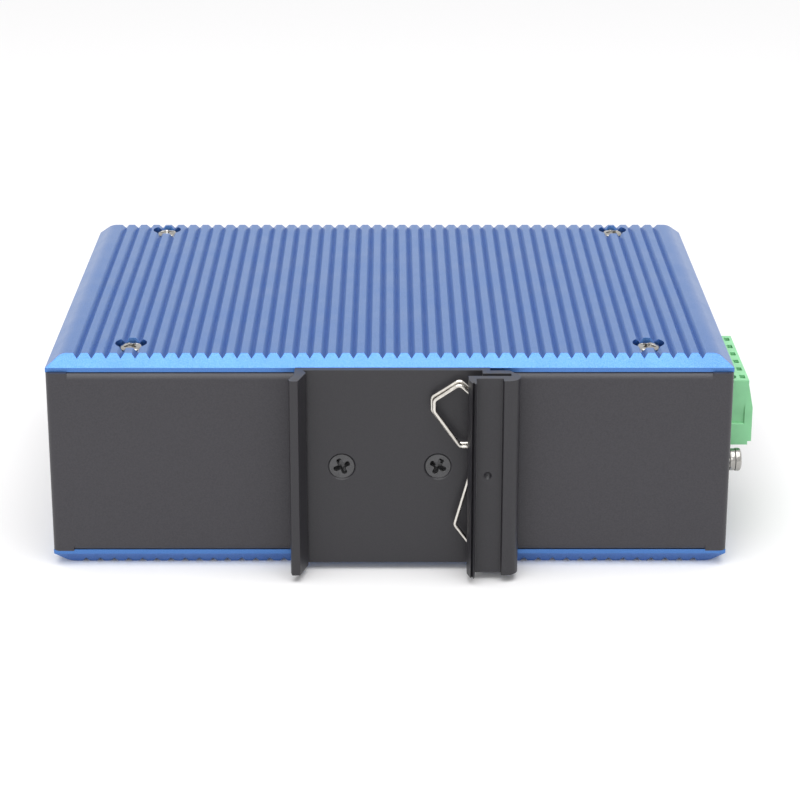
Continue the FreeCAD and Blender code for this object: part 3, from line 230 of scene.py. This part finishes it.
FINISHES = {
    "blue_anodised": blue_anodised(),
    "black_painted_steel": black_paint(),
    "black_anodised": black_anodised(),
    "nickel_steel": plain_metal("nickel_steel", (0.38, 0.37, 0.35), 0.19),
    "black_steel": plain_metal("black_steel", (0.085, 0.085, 0.088), 0.28, metallic=0.6),
    "spring_wire": plain_metal("spring_wire", (0.70, 0.67, 0.62), 0.22),
    "green_plastic": moulding("green_plastic", (0.29, 0.72, 0.37), 0.42),
    "tinned_pins": plain_metal("tinned_pins", (0.68, 0.68, 0.68), 0.3),
    "zinc_steel": plain_metal("zinc_steel", (0.6, 0.61, 0.62), 0.34),
    "circuit_board": circuit_board(),
    "black_plastic": moulding("black_plastic", (0.025, 0.025, 0.027), 0.48),
    "brass_pillar": plain_metal("brass_pillar", (0.72, 0.52, 0.24), 0.3),
    "light_lens": light_lens(),
    "soft_pad": moulding("soft_pad", (0.35, 0.4, 0.46), 0.7),
    "plain_aluminium": plain_metal("plain_aluminium", (0.72, 0.73, 0.74), 0.4),
    "ferrite": moulding("ferrite", (0.06, 0.06, 0.062), 0.6),
    "capacitor_can": plain_metal("capacitor_can", (0.62, 0.63, 0.66), 0.32),
    "relay_case": moulding("relay_case", (0.7, 0.7, 0.66), 0.45),
    "tinned_shield": plain_metal("tinned_shield", (0.66, 0.67, 0.67), 0.3),
    "gold_contact": plain_metal("gold_contact", (0.9, 0.66, 0.26), 0.24),
}

for part in frame["record"]["subparts"]:
    node = nodes[part["node"]]
    node.data.materials.clear()
    node.data.materials.append(FINISHES[part["material_slot"]])


# ---------------------------------------------------------------- shaping

def finished(name, form, slot, *stands_for):
    """The shape as a piece of the object, smooth except over its sharp edges."""
    for face in form.faces:
        face.smooth = True
    for edge in form.edges:
        edge.smooth = edge.is_manifold and edge.calc_face_angle(math.pi) < SMOOTH_UNDER
    mesh = bpy.data.meshes.new(name)
    form.to_mesh(mesh)
    form.free()
    mesh.materials.append(FINISHES[slot])
    piece = bpy.data.objects.new(name, mesh)
    scene.collection.objects.link(piece)
    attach(piece, ROOT)
    if stands_for:
        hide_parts(*stands_for)
    return piece


def merged(name):
    """A bmesh of a node's own solid, with whole flat faces."""
    form = bmesh.new()
    form.from_mesh(nodes[name].data)
    bmesh.ops.remove_doubles(form, verts=form.verts, dist=SAME_POINT)
    bmesh.ops.dissolve_limit(form, angle_limit=FLAT_WITHIN, verts=form.verts, edges=form.edges)
    return form


def rounded(form, edges, width, segments=2):
    """Takes some edges off."""
    bmesh.ops.bevel(form, geom=edges, offset=width, offset_type="OFFSET", segments=segments, profile=0.5,
                    affect="EDGES", clamp_overlap=True, material=-1)


def eased(form, width):
    """The shape with all its sharp edges taken off."""
    rounded(form, [edge for edge in form.edges if edge.is_manifold and edge.calc_face_angle() > EASE_OVER], width)
    return form


def ring(form, radius, height):
    """The edges of a circle round Z."""
    made = bmesh.ops.create_circle(form, cap_ends=False, segments=SPIN_STEPS, radius=radius,
                                   matrix=Matrix.Translation((0, 0, height)))
    return list({edge for vert in made["verts"] for edge in vert.link_edges})


def skinned(form, loops):
    """Walls between each loop of edges and the next."""
    for first, second in zip(loops, loops[1:]):
        bmesh.ops.bridge_loops(form, edges=first + second)


def capped(form, loop):
    """A flat face within a loop of edges."""
    bmesh.ops.contextual_create(form, geom=loop)


def placed(form, matrix):
    """Turns the shape's faces outwards and sets it in place."""
    bmesh.ops.recalc_face_normals(form, faces=form.faces)
    bmesh.ops.transform(form, matrix=matrix, verts=form.verts)


def joined(forms):
    """Several shapes as one."""
    whole = bmesh.new()
    for form in forms:
        mesh = bpy.data.meshes.new("part_shape")
        form.to_mesh(mesh)
        form.free()
        whole.from_mesh(mesh)
        bpy.data.meshes.remove(mesh)
    return whole


def facing(direction, place, twist=0.0):
    """Turns a shape that points up Z towards a direction, twisted round itself, and sets it in place."""
    towards = Vector(direction).to_track_quat("Z", "Y").to_matrix().to_4x4()
    return Matrix.Translation(place) @ towards @ Matrix.Rotation(math.radians(twist), 4, "Z")


# ---------------------------------------------------------------- screws

PAN_RADIUS = 2.6 * MM
PAN_HEIGHT = 2.0 * MM
PAN_CROWN = 0.18  # fall of the dome, as a share of the head's height
SINK_RADIUS = 2.65 * MM
GROUND_HEIGHT = 1.5 * MM
M3_SHANK = 1.5 * MM
SHANK_CHAMFER = 0.25 * MM
RIM_ROUND = 0.12 * MM

# Phillips recesses: reach of a wing, half its width, depth.
PAN_CROSS = (1.7 * MM, 0.5 * MM, 1.3 * MM)
SINK_CROSS = (1.8 * MM, 0.56 * MM, 1.7 * MM)
GROUND_CROSS = (1.45 * MM, 0.4 * MM, 1.0 * MM)
TIP_CHAMFER = 0.45  # shares of half a wing's width
INNER_CORNER = 1.25
CROSS_LIP = 0.05 * MM
CROSS_LIP_DROP = 0.06 * MM
CROSS_WAIST = (0.84, 0.8, 0.6)  # shares of reach, half width and depth
CROSS_FLOOR = (0.45, 0.55, 1.0)

PLATE_TWISTS = (35, 10, 60, 25)
BRACKET_TWISTS = (25, -28)
GROUND_TWIST = 20


def cross_mouth(form, reach, half, height_at):
    """The rim of a Phillips recess: four wings with chamfered tips and rounded inner corners."""
    tip = TIP_CHAMFER * half
    inner = INNER_CORNER * half
    wing = [(reach - tip, -half), (reach, tip - half), (reach, half - tip), (reach - tip, half),
            (inner, half), (half, inner)]
    verts = []
    for quarter in range(4):
        turn = Matrix.Rotation(quarter * math.pi / 2, 2)
        for corner in wing:
            x, y = turn @ Vector(corner)
            verts.append(form.verts.new((x, y, height_at(math.hypot(x, y)))))
    return [form.edges.new((verts[index - 1], verts[index])) for index in range(len(verts))]


def screw_head(form, outline, cross, height_at):
    """A turned head, from its underside up to the rim of its Phillips recess, and the recess."""
    reach, half, depth = cross
    loops = [ring(form, radius, height) for radius, height in outline]
    recess = [cross_mouth(form, reach, half, height_at),
              cross_mouth(form, reach - CROSS_LIP, half - CROSS_LIP, lambda r: height_at(r) - CROSS_LIP_DROP)]
    for long, wide, deep in (CROSS_WAIST, CROSS_FLOOR):
        level = height_at(0) - deep * depth
        recess.append(cross_mouth(form, long * reach, wide * half, lambda r: level))
    capped(form, loops[0])
    skinned(form, loops + recess)
    capped(form, recess[-1])


def domed(radius, height, crown):
    """Height over the seat of a shallow dome that falls by the crown at its radius."""
    return lambda r: height - crown * (r / radius) ** 2


def shank(length):
    """The chamfered shank under a head, up to its seat at Z = 0."""
    return [(M3_SHANK - SHANK_CHAMFER, -length), (M3_SHANK, SHANK_CHAMFER - length)]


def pan_screw(radius, height, length, cross):
    """A pan head screw standing on its seat at Z = 0, head up."""
    form = bmesh.new()
    crown = domed(radius, height, PAN_CROWN * height)
    edge, top = 0.89 * radius, 0.78 * radius
    outline = shank(length) + [
        (M3_SHANK, 0.0), (radius - RIM_ROUND, 0.0), (radius, RIM_ROUND), (radius, 0.5 * height),
        (0.97 * radius, 0.7 * height), (edge, crown(edge) - 0.08 * MM), (top, crown(top)),
    ]
    screw_head(form, outline, cross, crown)
    return form


def plate_screw_set(node, up):
    """Nickelled pan heads at the bottom of a plate's four recesses."""
    low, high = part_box(node)
    top = high.z if up > 0 else low.z
    spots = [(x, y) for x in (low.x + PAN_RADIUS, high.x - PAN_RADIUS)
             for y in (low.y + PAN_RADIUS, high.y - PAN_RADIUS)]
    forms = []
    for (x, y), twist in zip(spots, PLATE_TWISTS):
        form = pan_screw(PAN_RADIUS, PAN_HEIGHT, high.z - low.z - PAN_HEIGHT, PAN_CROSS)
        placed(form, facing((0, 0, up), (x, y, top - up * PAN_HEIGHT), twist))
        forms.append(form)
    finished(node + "_turned", joined(forms), "nickel_steel", node)


def bracket_screw_set():
    """Two countersunk heads, each just under the bracket's face."""
    low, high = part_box("din_bracket_screws")
    outline = shank(high.y - low.y) + [
        (M3_SHANK, M3_SHANK - SINK_RADIUS), (SINK_RADIUS - 0.1 * MM, -0.12 * MM), (SINK_RADIUS, -0.08 * MM),
        (SINK_RADIUS - 0.06 * MM, 0.0),
    ]
    forms = []
    for x, twist in zip((low.x + SINK_RADIUS, high.x - SINK_RADIUS), BRACKET_TWISTS):
        form = bmesh.new()
        screw_head(form, outline, SINK_CROSS, lambda r: 0.0)
        placed(form, facing((0, -1, 0), (x, low.y, (low.z + high.z) / 2), twist))
        forms.append(form)
    finished("din_bracket_screws_turned", joined(forms), "black_steel", "din_bracket_screws")


def ground_screw():
    """The pan head outside the washers at the end wall."""
    low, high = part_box("ground_screw")
    middle = (low + high) / 2
    form = pan_screw((high.z - low.z) / 2, GROUND_HEIGHT, high.x - low.x - GROUND_HEIGHT, GROUND_CROSS)
    placed(form, facing((1, 0, 0), (high.x - GROUND_HEIGHT, middle.y, middle.z), GROUND_TWIST))
    finished("ground_screw_turned", form, "nickel_steel", "ground_screw")


# ---------------------------------------------------------------- wire spring

# The spring's line as it was bent, (x, z, layer): z from the bracket's middle, layer 1 one wire deeper.
WIRE_LINE = (
    (17.4, 16.8, 1.0), (14.3, 19.55, 1.0), (8.65, 15.85, 1.0), (8.65, 13.2, 1.0), (14.0, 5.8, 1.0),
    (17.65, 5.8, 1.0), (17.8, 8.5, 0.8), (17.8, 13.0, 0.1), (17.65, 15.9, 0.0), (14.25, 18.95, 0.0),
    (9.1, 15.5, 0.0), (9.1, 13.15, 0.0), (14.5, 5.5, 0.0), (20.6, 5.3, 0.0), (20.9, -0.6, 0.0),
    (16.6, -0.7, 0.0), (13.5, -11.9, 0.0), (16.6, -16.1, 0.0), (20.4, -17.4, 0.0),
)
WIRE_RADIUS = 0.4 * MM
WIRE_BEND = 1.1 * MM
WIRE_STEP = 0.86 * MM
BEND_STEPS = 6
BEND_SHARE = 0.45  # the most of a straight run that a bend may take at one end


def wire_route():
    """Points along the wire, with each corner taken round as an arc."""
    low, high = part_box("din_wire_spring")
    middle = (solid_low.z + solid_high.z) / 2
    slot_y = high.y - WIRE_STEP - WIRE_RADIUS
    corners = [Vector((x * MM, slot_y + layer * WIRE_STEP, middle + z * MM)) for x, z, layer in WIRE_LINE]
    route = [corners[0]]
    for before, here, after in zip(corners, corners[1:], corners[2:]):
        to_last = (before - here).normalized()
        to_next = (after - here).normalized()
        half = to_last.angle(to_next) / 2
        reach = min(WIRE_BEND / math.tan(half),
                    BEND_SHARE * (before - here).length, BEND_SHARE * (after - here).length)
        start = here + to_last * reach
        end = here + to_next * reach
        for step in range(BEND_STEPS + 1):
            t = step / BEND_STEPS
            route.append(start.lerp(here, t).lerp(here.lerp(end, t), t))
    route.append(corners[-1])
    return route


def wire_spring():
    """One round wire along its route, swept as a curve and kept as a mesh."""
    line = bpy.data.curves.new("din_wire_spring_round", "CURVE")
    line.dimensions = "3D"
    line.bevel_depth = WIRE_RADIUS
    line.bevel_resolution = 4
    line.use_fill_caps = True
    route = wire_route()
    path = line.splines.new("POLY")
    path.points.add(len(route) - 1)
    for point, place in zip(path.points, route):
        point.co = (*place, 1.0)
    sweep = bpy.data.objects.new("wire_sweep", line)
    scene.collection.objects.link(sweep)
    bpy.context.view_layer.update()
    mesh = bpy.data.meshes.new_from_object(sweep.evaluated_get(bpy.context.evaluated_depsgraph_get()))
    bpy.data.objects.remove(sweep)
    form = bmesh.new()
    form.from_mesh(mesh)
    bpy.data.meshes.remove(mesh)
    bmesh.ops.remove_doubles(form, verts=form.verts, dist=SAME_POINT)
    bmesh.ops.recalc_face_normals(form, faces=form.faces)
    finished("din_wire_spring_round", form, "spring_wire", "din_wire_spring")


# ---------------------------------------------------------------- eased pieces

SHEET_EDGE = 0.05 * MM
MOULDED_EDGE = 0.1 * MM
PLUG_EDGE = 0.12 * MM

# How wide the edges of each node are eased.
EASED = {
    "upper_side_plate": 0.14 * MM, "lower_side_plate": 0.14 * MM,
    "rear_chassis": SHEET_EDGE, "front_panel": SHEET_EDGE,
    "din_rail_bracket": 0.12 * MM,
    "terminal_clamp_screws": MOULDED_EDGE, "terminal_header": MOULDED_EDGE,
    "ground_star_washer": 0.06 * MM, "ground_spring_washer": 0.1 * MM,
    "status_lights": MOULDED_EDGE,
}
for number in range(1, 5):
    EASED["jack_%d_insert" % number] = MOULDED_EDGE
    EASED["jack_%d_shield" % number] = SHEET_EDGE
for number in range(1, 3):
    EASED["module_cage_%d" % number] = SHEET_EDGE
    EASED["module_socket_%d" % number] = MOULDED_EDGE

# The scoop in each end of the plug: where its ledge and floor lie, and what closes it towards the wire entry.
ON_LEDGE = 0.02 * MM
LEDGE_ROUND = 0.4 * MM
LEDGE_STEPS = 3
SCOOP_LEDGE = 4.95 * MM  # over the plug's foot
SCOOP_FLOOR = 0.55 * MM  # in from the plug's end
END_WALL_THICK = 0.13 * MM
END_WALL_RISE = 1.75 * MM
END_WALL_LONG = 5.8 * MM
END_WALL_MIDDLE = 4.6 * MM  # in from the plug's face

SLOTS = {part["node"]: part["material_slot"] for part in frame["record"]["subparts"]}


def eased_plug():
    """The plug with well rounded ledges under its end scoops, and the floor of each scoop."""
    low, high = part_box("terminal_plug")
    plug = merged("terminal_plug")
    ledge = low.z + SCOOP_LEDGE
    rims = [edge for edge in plug.edges
            if all(abs(vert.co.z - ledge) < ON_LEDGE and min(vert.co.y - low.y, high.y - vert.co.y) < ON_LEDGE
                   for vert in edge.verts)]
    rounded(plug, rims, LEDGE_ROUND, LEDGE_STEPS)
    forms = [eased(plug, PLUG_EDGE)]
    size = Matrix.Diagonal((END_WALL_LONG, END_WALL_THICK, END_WALL_RISE, 1.0))
    for end, inside in ((low.y, 1), (high.y, -1)):
        wall = bmesh.new()
        middle = (high.x - END_WALL_MIDDLE, end + inside * (SCOOP_FLOOR + END_WALL_THICK / 2),
                  ledge + END_WALL_RISE / 2)
        bmesh.ops.create_cube(wall, size=1.0, matrix=Matrix.Translation(middle) @ size)
        forms.append(wall)
    return joined(forms)


def eased_pieces():
    """The nodes' own forms with their sharp edges taken off and their bends smooth."""
    forms = {name: eased(merged(name), width) for name, width in EASED.items()}
    forms["terminal_plug"] = eased_plug()
    for name, form in forms.items():
        piece = finished(name + "_eased", form, SLOTS[name], name)
        flats = piece.modifiers.new("true_flats", "WEIGHTED_NORMAL")
        flats.keep_sharp = True
        flats.weight = 100


eased_pieces()
plate_screw_set("upper_plate_screws", up=1)
plate_screw_set("lower_plate_screws", up=-1)
bracket_screw_set()
ground_screw()
wire_spring()


# ---------------------------------------------------------------- stage, light and camera

FLOOR_HALF = 4.0
FLOOR_DROP = 0.02 * MM  # keeps the paper clear of the face that the switch lies on
FLOOR_COLOUR = (0.72, 0.72, 0.725, 1.0)  # for the light that it sends back
FLOOR_SEEN = (0.93, 0.925, 0.93, 1.0)  # for the camera and for reflections
FLOOR_GLOW = 0.03
FADE_FROM = 0.3
FADE_TO = 1.1
SKY_FILL = 0.55
WHITE = (1.0, 1.0, 1.0, 1.0)

# Sockets of a colour mix, which share their names with its other kinds.
MIX_FACTOR, MIX_FIRST, MIX_SECOND, MIX_RESULT = 0, 6, 7, 2

def backdrop_rays(tree):
    """1 for the rays that see the backdrop itself: camera, glossy and transmission rays."""
    ray = tree.nodes.new("ShaderNodeLightPath")
    seen = ray.outputs["Is Camera Ray"]
    for kind in ("Is Glossy Ray", "Is Transmission Ray"):
        either = tree.nodes.new("ShaderNodeMath")
        either.operation = "MAXIMUM"
        tree.links.new(seen, either.inputs[0])
        tree.links.new(ray.outputs[kind], either.inputs[1])
        seen = either.outputs["Value"]
    return seen


def fade_to_white(tree, shader, seen):
    """Away from the object the paper runs into plain white."""
    place = tree.nodes.new("ShaderNodeTexCoord")
    away = tree.nodes.new("ShaderNodeVectorMath")
    away.operation = "LENGTH"
    tree.links.new(place.outputs["Object"], away.inputs[0])
    fade = tree.nodes.new("ShaderNodeMapRange")
    fade.interpolation_type = "SMOOTHSTEP"
    fade.inputs["From Min"].default_value = FADE_FROM
    fade.inputs["From Max"].default_value = FADE_TO
    tree.links.new(away.outputs["Value"], fade.inputs["Value"])
    amount = tree.nodes.new("ShaderNodeMath")
    amount.operation = "MULTIPLY"
    tree.links.new(fade.outputs["Result"], amount.inputs[0])
    tree.links.new(seen, amount.inputs[1])
    white = tree.nodes.new("ShaderNodeEmission")
    white.inputs["Color"].default_value = WHITE
    white.inputs["Strength"].default_value = 1.0
    mix = tree.nodes.new("ShaderNodeMixShader")
    tree.links.new(amount.outputs["Value"], mix.inputs[0])
    tree.links.new(shader.outputs["BSDF"], mix.inputs[1])
    tree.links.new(white.outputs["Emission"], mix.inputs[2])
    tree.links.new(mix.outputs["Shader"], tree.nodes["Material Output"].inputs["Surface"])


def studio_floor():
    """A pale floor that reads white to the camera and keeps the object's shadow."""
    form = bmesh.new()
    bmesh.ops.create_grid(form, x_segments=1, y_segments=1, size=FLOOR_HALF)
    mesh = bpy.data.meshes.new("studio_floor")
    form.to_mesh(mesh)
    form.free()
    mesh.transform(Matrix.Translation((0, 0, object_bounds()[0].z - FLOOR_DROP)))
    floor = bpy.data.objects.new("studio_floor", mesh)
    scene.collection.objects.link(floor)
    paper = bpy.data.materials.new("studio_paper")
    paper.use_nodes = True
    tree = paper.node_tree
    shader = tree.nodes["Principled BSDF"]
    shader.inputs["Roughness"].default_value = 0.9
    shader.inputs["Specular IOR Level"].default_value = 0.2
    seen = backdrop_rays(tree)
    strength = tree.nodes.new("ShaderNodeMath")
    strength.operation = "MULTIPLY"
    strength.inputs[1].default_value = FLOOR_GLOW
    tree.links.new(seen, strength.inputs[0])
    shader.inputs["Emission Color"].default_value = WHITE
    tree.links.new(strength.outputs["Value"], shader.inputs["Emission Strength"])
    shade = tree.nodes.new("ShaderNodeMix")
    shade.data_type = "RGBA"
    shade.inputs[MIX_FIRST].default_value = FLOOR_COLOUR
    shade.inputs[MIX_SECOND].default_value = FLOOR_SEEN
    tree.links.new(seen, shade.inputs[MIX_FACTOR])
    tree.links.new(shade.outputs[MIX_RESULT], shader.inputs["Base Color"])
    fade_to_white(tree, shader, seen)
    mesh.materials.append(paper)
    floor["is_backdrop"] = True


def studio_sky():
    """White all round for the camera and for reflections, a gentle fill for everything else."""
    world = bpy.data.worlds.new("studio_sky")
    world.use_nodes = True
    scene.world = world
    tree = world.node_tree
    fill = tree.nodes["Background"]
    fill.inputs["Color"].default_value = WHITE
    fill.inputs["Strength"].default_value = SKY_FILL
    white = tree.nodes.new("ShaderNodeBackground")
    white.inputs["Color"].default_value = WHITE
    white.inputs["Strength"].default_value = 1.0
    mix = tree.nodes.new("ShaderNodeMixShader")
    tree.links.new(backdrop_rays(tree), mix.inputs["Fac"])
    tree.links.new(fill.outputs["Background"], mix.inputs[1])
    tree.links.new(white.outputs["Background"], mix.inputs[2])
    tree.links.new(mix.outputs["Shader"], tree.nodes["World Output"].inputs["Surface"])


def softbox(name, place, target, width, height, power):
    """A rectangular area lamp that faces its target."""
    lamp = bpy.data.lights.new(name, "AREA")
    lamp.shape = "RECTANGLE"
    lamp.size = width
    lamp.size_y = height
    lamp.energy = power
    box = bpy.data.objects.new(name, lamp)
    box.location = place
    box.rotation_euler = (Vector(target) - Vector(place)).to_track_quat("-Z", "Y").to_euler()
    scene.collection.objects.link(box)


studio_floor()
studio_sky()
softbox("overhead_softbox", place=(0.0, -0.38, 1.25), target=(0, 0, 0), width=1.4, height=1.3, power=15.5)
softbox("front_softbox", place=(-0.3, -1.6, 0.9), target=(0, 0, 0.02), width=1.2, height=0.8, power=6.0)

CAMERA_PLACE = (0.12 * MM, -522.14 * MM, 205.90 * MM)
CAMERA_DOWN = 0.3443
CAMERA_ASIDE = -0.0042
CAMERA_ROLL = 0.0011

lens = bpy.data.cameras.new("studio_camera")
lens.sensor_width = 36.0
lens.lens = 108.9
lens.clip_start = 0.01
lens.clip_end = 20.0
camera = bpy.data.objects.new("studio_camera", lens)
scene.collection.objects.link(camera)
turn = Euler((math.pi / 2 - CAMERA_DOWN, 0.0, CAMERA_ASIDE)).to_matrix() @ Matrix.Rotation(CAMERA_ROLL, 3, "Z")
camera.matrix_world = Matrix.Translation(CAMERA_PLACE) @ turn.to_4x4()
scene.camera = camera
scene.view_settings.view_transform = "Standard"
